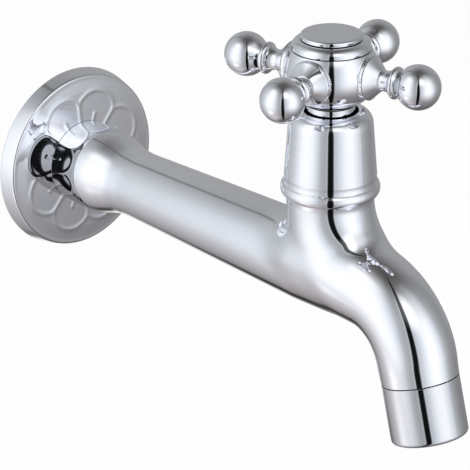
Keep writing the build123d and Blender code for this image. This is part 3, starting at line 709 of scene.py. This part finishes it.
def swept(middle_and_way, radii):
    """Rings for a rough bar, evenly spaced along a whole curve."""
    return [(*middle_and_way(part / (len(radii) - 1)), radius)
            for part, radius in enumerate(radii)]


def along_bend(part):
    """The middle of the bend at a part of its angle, and the way out of it there."""
    angle = BEND_ANGLE * part
    return (Vector((BEND_START + BEND_RADIUS * sin(angle), 0, BEND_RADIUS * (cos(angle) - 1))),
            Vector((cos(angle), 0, -sin(angle))))


def along_blend(part):
    """The middle of the neck's swept front at a part of its angle, and the way down it there."""
    angle = BLEND_ANGLE * part
    return (Vector((VALVE + BLEND_RADIUS * (1 - cos(angle)), 0,
                    BLEND_HEIGHT - BLEND_RADIUS * sin(angle))),
            Vector((sin(angle), 0, -cos(angle))))


outlet_start, outlet_way = along_bend(1)
rough = bmesh.new()
rough_bar(rough, [(Vector((place, 0, 0)), ALONG, radius) for place, radius in ROUGH_BARREL]
          + swept(along_bend, ROUGH_BEND)
          + [(outlet_start + outlet_way * ROUGH_OUTLET[0], outlet_way, ROUGH_OUTLET[1])])
rough_neck = [(Vector((VALVE, 0, height)), DOWN, radius) for height, radius in ROUGH_NECK]
rough_bar(rough, rough_neck[:1] + swept(along_blend, ROUGH_BLEND))
rough_bar(rough, rough_neck)
rough_mesh = bpy.data.meshes.new("rough_casting")
rough.to_mesh(rough_mesh)
rough.free()
rough_piece = mesh_object("rough_casting", rough_mesh)
even_mesh = rough_piece.modifiers.new("even_mesh", "REMESH")
even_mesh.mode = "VOXEL"
even_mesh.voxel_size = CASTING_GRAIN
fused_mesh = bpy.data.meshes.new_from_object(
    rough_piece.evaluated_get(bpy.context.evaluated_depsgraph_get()))
bpy.data.objects.remove(rough_piece)

# It is cut square at its three ends and settled on to the true surface. Then each end is
# turned in: a bevel, its shoulder and the bore, as radii and distances along the way out.
CASTING_ENDS = [
    (Vector((COLLAR_FOOT, 0, 0)), -ALONG,
     [(0.0065, 0.0), (0.0065, -0.105)]),
    (Vector((VALVE, 0, NECK_TOP)), -DOWN,
     [(0.0120, 0.0), (0.0120, 0.0058), (0.01053, 0.0058), (0.01053, -0.0067), (0.0100, -0.0072),
      (0.0100, -0.0258), (0.0064, -0.0258), (0.0064, -0.0252), (0.0042, -0.0252),
      (0.0042, -0.0314)]),
    (outlet_start + outlet_way * STRAIGHT_RUN, outlet_way,
     [(0.01095, 0.0), (0.01095, 0.0065), (0.0082, 0.0065), (0.0082, -0.012)])]
casting_shape = bmesh.new()
casting_shape.from_mesh(fused_mesh)
for end, outward, _ in CASTING_ENDS:
    whole = casting_shape.verts[:] + casting_shape.edges[:] + casting_shape.faces[:]
    bmesh.ops.bisect_plane(casting_shape, geom=whole, dist=1e-6, clear_outer=True,
                           plane_co=end - outward * JOINT_BEVEL, plane_no=outward)
settle(casting_shape.verts[:], 8)
outer_faces = len(casting_shape.faces)
for face in casting_shape.faces:
    face.smooth = True
for end, outward, shoulder in CASTING_ENDS:
    rim_edges = [edge for edge in casting_shape.edges if edge.is_boundary
                 and abs((edge.verts[0].co - end).dot(outward)) < 0.001]
    rim = list(dict.fromkeys(corner for edge in rim_edges for corner in edge.verts))
    for _ in range(4):
        for corner in rim:
            corner.co -= outward * ((corner.co - end).dot(outward) + JOINT_BEVEL)
        settle(rim, 1)
    arms = {corner: corner.co - end for corner in rim}
    arms = {corner: arm - outward * arm.dot(outward) for corner, arm in arms.items()}
    outer_radius = sum(arm.length for arm in arms.values()) / len(rim)
    lasts = {corner: corner for corner in rim}
    for radius, distance in [(outer_radius - JOINT_BEVEL, 0.0)] + shoulder:
        nexts = {corner: casting_shape.verts.new(
            end + outward * distance + arm.normalized() * radius) for corner, arm in arms.items()}
        for edge in rim_edges:
            first, second = edge.verts
            casting_shape.faces.new((lasts[first], lasts[second], nexts[second], nexts[first]))
        lasts = nexts
    bottom = casting_shape.verts.new(end + outward * shoulder[-1][1])
    for edge in rim_edges:
        first, second = edge.verts
        casting_shape.faces.new((lasts[first], lasts[second], bottom))
bmesh.ops.recalc_face_normals(casting_shape, faces=casting_shape.faces[:])
casting_mesh = bpy.data.meshes.new("casting")
casting_shape.to_mesh(casting_mesh)
casting_shape.free()

# The outside is shaded by the true surface, and the turned ends face by face.
facing = slope_outside(np.array([corner.co for corner in casting_mesh.vertices]))
loop_normals = []
for face in casting_mesh.polygons:
    loop_normals += [tuple(facing[corner] if face.index < outer_faces else face.normal)
                     for corner in face.vertices]
casting_mesh.normals_split_custom_set(loop_normals)
casting = mesh_object("casting", casting_mesh)
casting.data.materials.append(cast_chrome)
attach(casting, "root")
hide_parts("tap_body")


# Inlet thread: a G1/2 pipe thread of 14 turns to the inch, cut on the tail of the casting.
# It goes into the wall and isn't plated, so it keeps the colour of the brass.
THREAD_PITCH = 0.001814
THREAD_CREST = 0.01048
THREAD_DEPTH = 0.00116
THREAD_START = -0.016
THREAD_STOP = 0.0
THREAD_LEAD_IN = 0.0015
THREAD_RUN_OUT = 0.002
THREAD_STEEPNESS = 1.32          # of its flanks, where 1 would leave neither crest nor root flat
THREAD_ROOT = 0.16               # how much of the flanks' rise the flat of the root takes
THREAD_BORE = 0.0065
THREAD_STEPS = 106
THREAD_SIDES = 96
THREAD_TURNS = np.arange(THREAD_SIDES) * 2 * pi / THREAD_SIDES


def thread_radii(place):
    """Radii round the thread: rounded crests and roots, fading out at both its ends."""
    phase = (place / THREAD_PITCH - THREAD_TURNS / (2 * pi)) % 1
    ridge = np.clip(THREAD_STEEPNESS * (1 - np.abs(2 * phase - 1)) - THREAD_ROOT, 0, 1)
    ridge = ridge * ridge * (3 - 2 * ridge)
    height = min(1.0, (place - THREAD_START) / THREAD_LEAD_IN,
                 (THREAD_STOP - place) / THREAD_RUN_OUT)
    return THREAD_CREST - THREAD_DEPTH * (1 - ridge * height)


thread_places = [THREAD_START + (THREAD_STOP - THREAD_START) * step / THREAD_STEPS
                 for step in range(THREAD_STEPS + 1)]
thread_profile = [(place, thread_radii(place)) for place in thread_places] + [
    (COLLAR_FOOT, THREAD_CREST - THREAD_DEPTH), (COLLAR_FOOT, THREAD_BORE),
    (THREAD_START, THREAD_BORE)]
thread_shape = bmesh.new()
inlet_thread = smooth_object(
    "inlet_thread", thread_shape,
    [ring_about_x(thread_shape, place, radii, THREAD_TURNS) for place, radii in thread_profile])
inlet_thread.data.materials.append(bare_brass)
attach(inlet_thread, "root")
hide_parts("tap_body")


# Handle hub: a turned brass ball with a collar and a skirt, pressed out about each of its four
# flats so that they stand proud, and bored for the spindle, the screw and the button.
SPOKES = 4
QUARTER = 2 * pi / SPOKES
HANDLE_TURN = radians(17.4)
SPOKE_HEIGHT = 0.0649
HUB_BALL = 0.0144
HUB_UNDER = 0.011342
BALL_TOP = 0.00724               # where the ball stops below the collar
BALL_FOOT = -0.0094              # and above the skirt
FLAT_STANDS_OFF = 0.01382
FLAT_CORNER = 0.01542            # how far the rim of a flat is from the ball's middle
FLAT_REACH = radians(26.2)       # from a spoke's axis to the rim of its flat
FLANK_REACH = radians(28.8)      # and to where the ball is round again
FLANK_CURVE = 1.5                # how hollow the flanks are, where 1 would be straight
FLANK_TOP = (0.88, 1.02)         # where the flanks fade out, in parts of the ball's top
FLAT_ROUNDING = 0.0002
HUB_SIDES = 640
ARC_STEP = radians(0.6)
SHARP_CORNER = radians(30)


def turned_piece(name, outline, sides, reshape=None):
    """A closed solid turned about Z, reshaped ring by ring where a function is given for it."""
    shape = bmesh.new()
    turns = np.arange(sides) * 2 * pi / sides
    rings = []
    for radius, height in outline:
        if radius == 0:
            rings.append([shape.verts.new((0, 0, height))] * sides)
            continue
        ring = np.stack([radius * np.cos(turns), radius * np.sin(turns),
                         np.full(sides, height)], axis=1)
        rings.append([shape.verts.new(place) for place in (reshape(ring) if reshape else ring)])
    return smooth_object(name, shape, rings, SHARP_CORNER)


def press_out_flats(ring):
    """Push a ring of the hub's ball outward about the four flats."""
    if not BALL_FOOT < ring[0][2] <= BALL_TOP + 1e-6:
        return ring
    distance = np.linalg.norm(ring, axis=1)
    fold = (np.arctan2(ring[:, 1], ring[:, 0]) - HANDLE_TURN + QUARTER / 2) % QUARTER - QUARTER / 2
    away = np.arccos(np.hypot(ring[:, 0], ring[:, 1]) * np.cos(fold) / distance)
    share = np.clip((FLANK_REACH - away) / (FLANK_REACH - FLAT_REACH), 0, 1) ** FLANK_CURVE
    start, end = FLANK_TOP
    share *= np.clip((end - np.abs(ring[:, 2]) / BALL_TOP) / (end - start), 0, 1)
    flank = distance + (FLAT_CORNER - distance) * share
    flat = FLAT_STANDS_OFF / np.cos(np.minimum(away, radians(60)))
    return ring * (melt(flank, flat, FLAT_ROUNDING) / distance)[:, None]


hub_outline = ([(0.0022, 0.0), (0.0022, 0.0011), (0.0049, 0.0011), (0.0049, 0.0071),
                (0.00855, 0.0071), (0.00855, 0.0103), (0.0100, 0.0103)]
               + arc((0.0094, 0.0075), 0.0028, radians(78), 0, radians(8))
               + [(0.0121, 0.00742), (0.0119, 0.00738), (0.0119, 0.00730)]
               + arc((0, 0), HUB_BALL, asin(BALL_TOP / HUB_BALL), 0, ARC_STEP)
               + arc((HUB_BALL - HUB_UNDER, 0), HUB_UNDER, -ARC_STEP, radians(-56.6), ARC_STEP)
               + [(0.00887, -0.0096), (0.00830, -0.00975), (0.0078, -0.0101),
                  (0.0075, -0.0106), (0.0075, -0.0152), (0.0073, -0.0154), (0.0058, -0.0154),
                  (0.0058, -0.0139), (0.0041, -0.0139), (0.0041, -0.0021), (0.0022, -0.0021)])
hub = turned_piece("hub", hub_outline, HUB_SIDES, press_out_flats)
hub.data.transform(Matrix.Translation((VALVE, 0, SPOKE_HEIGHT)))
hub.data.materials.append(turned_chrome)
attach(hub, "handle")
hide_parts("handle_hub")


# Spokes: turned brass, screwed into the flats of the hub. Each flares out to a sharp rim where
# it sits on its flat, and ends in a bead and a ball.
SPOKE_SIDES = 128
BALL_RADIUS = 0.0069
BALL_CENTRE = 0.0295


def curve(first, control, last, parts):
    """Points along a curve that leaves the first point toward the control point."""
    return [tuple((1 - t) ** 2 * a + 2 * t * (1 - t) * b + t * t * c
                  for a, b, c in zip(first, control, last))
            for t in (part / parts for part in range(parts + 1))]


# The seat on the flat, the flare, the waist, the bead, the throat and the ball
ball_points = arc((BALL_CENTRE, 0), BALL_RADIUS, radians(130), 0, radians(2))
spoke_outline = ([(0.0, 0.01384), (0.00652, 0.01384), (0.00676, 0.01400), (0.00678, 0.01412)]
                 + curve((0.00672, 0.01420), (0.00505, 0.01560), (0.00352, 0.01738), 16)
                 + curve((0.00330, 0.01746), (0.00290, 0.01905), (0.00385, 0.02072), 16)
                 + curve((0.00390, 0.02080), (0.00600, 0.02206), (0.00410, 0.02330), 20)
                 + curve((0.00414, 0.02334), (0.00460, 0.02425), (0.005286, 0.025065), 8)[:-1]
                 + [(radius, place) for place, radius in ball_points[:-1]]
                 + [(0.0, BALL_CENTRE + BALL_RADIUS)])
for node in ("spoke_front", "spoke_right", "spoke_back", "spoke_left"):
    spoke = turned_piece(node.split("_")[1] + "_spoke", spoke_outline, SPOKE_SIDES)
    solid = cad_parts[node]
    corners = [solid.matrix_world @ Vector(corner) for corner in solid.bound_box]
    middle = sum(corners, Vector()) / len(corners)
    quarters = round((atan2(middle.y, middle.x - VALVE) - HANDLE_TURN) / QUARTER)
    spoke.data.transform(Matrix.Translation((VALVE, 0, SPOKE_HEIGHT))
                         @ Matrix.Rotation(HANDLE_TURN + QUARTER * quarters, 4, "Z")
                         @ Matrix.Rotation(radians(90), 4, "Y"))
    spoke.data.materials.append(turned_chrome)
    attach(spoke, "handle")
    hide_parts(node)
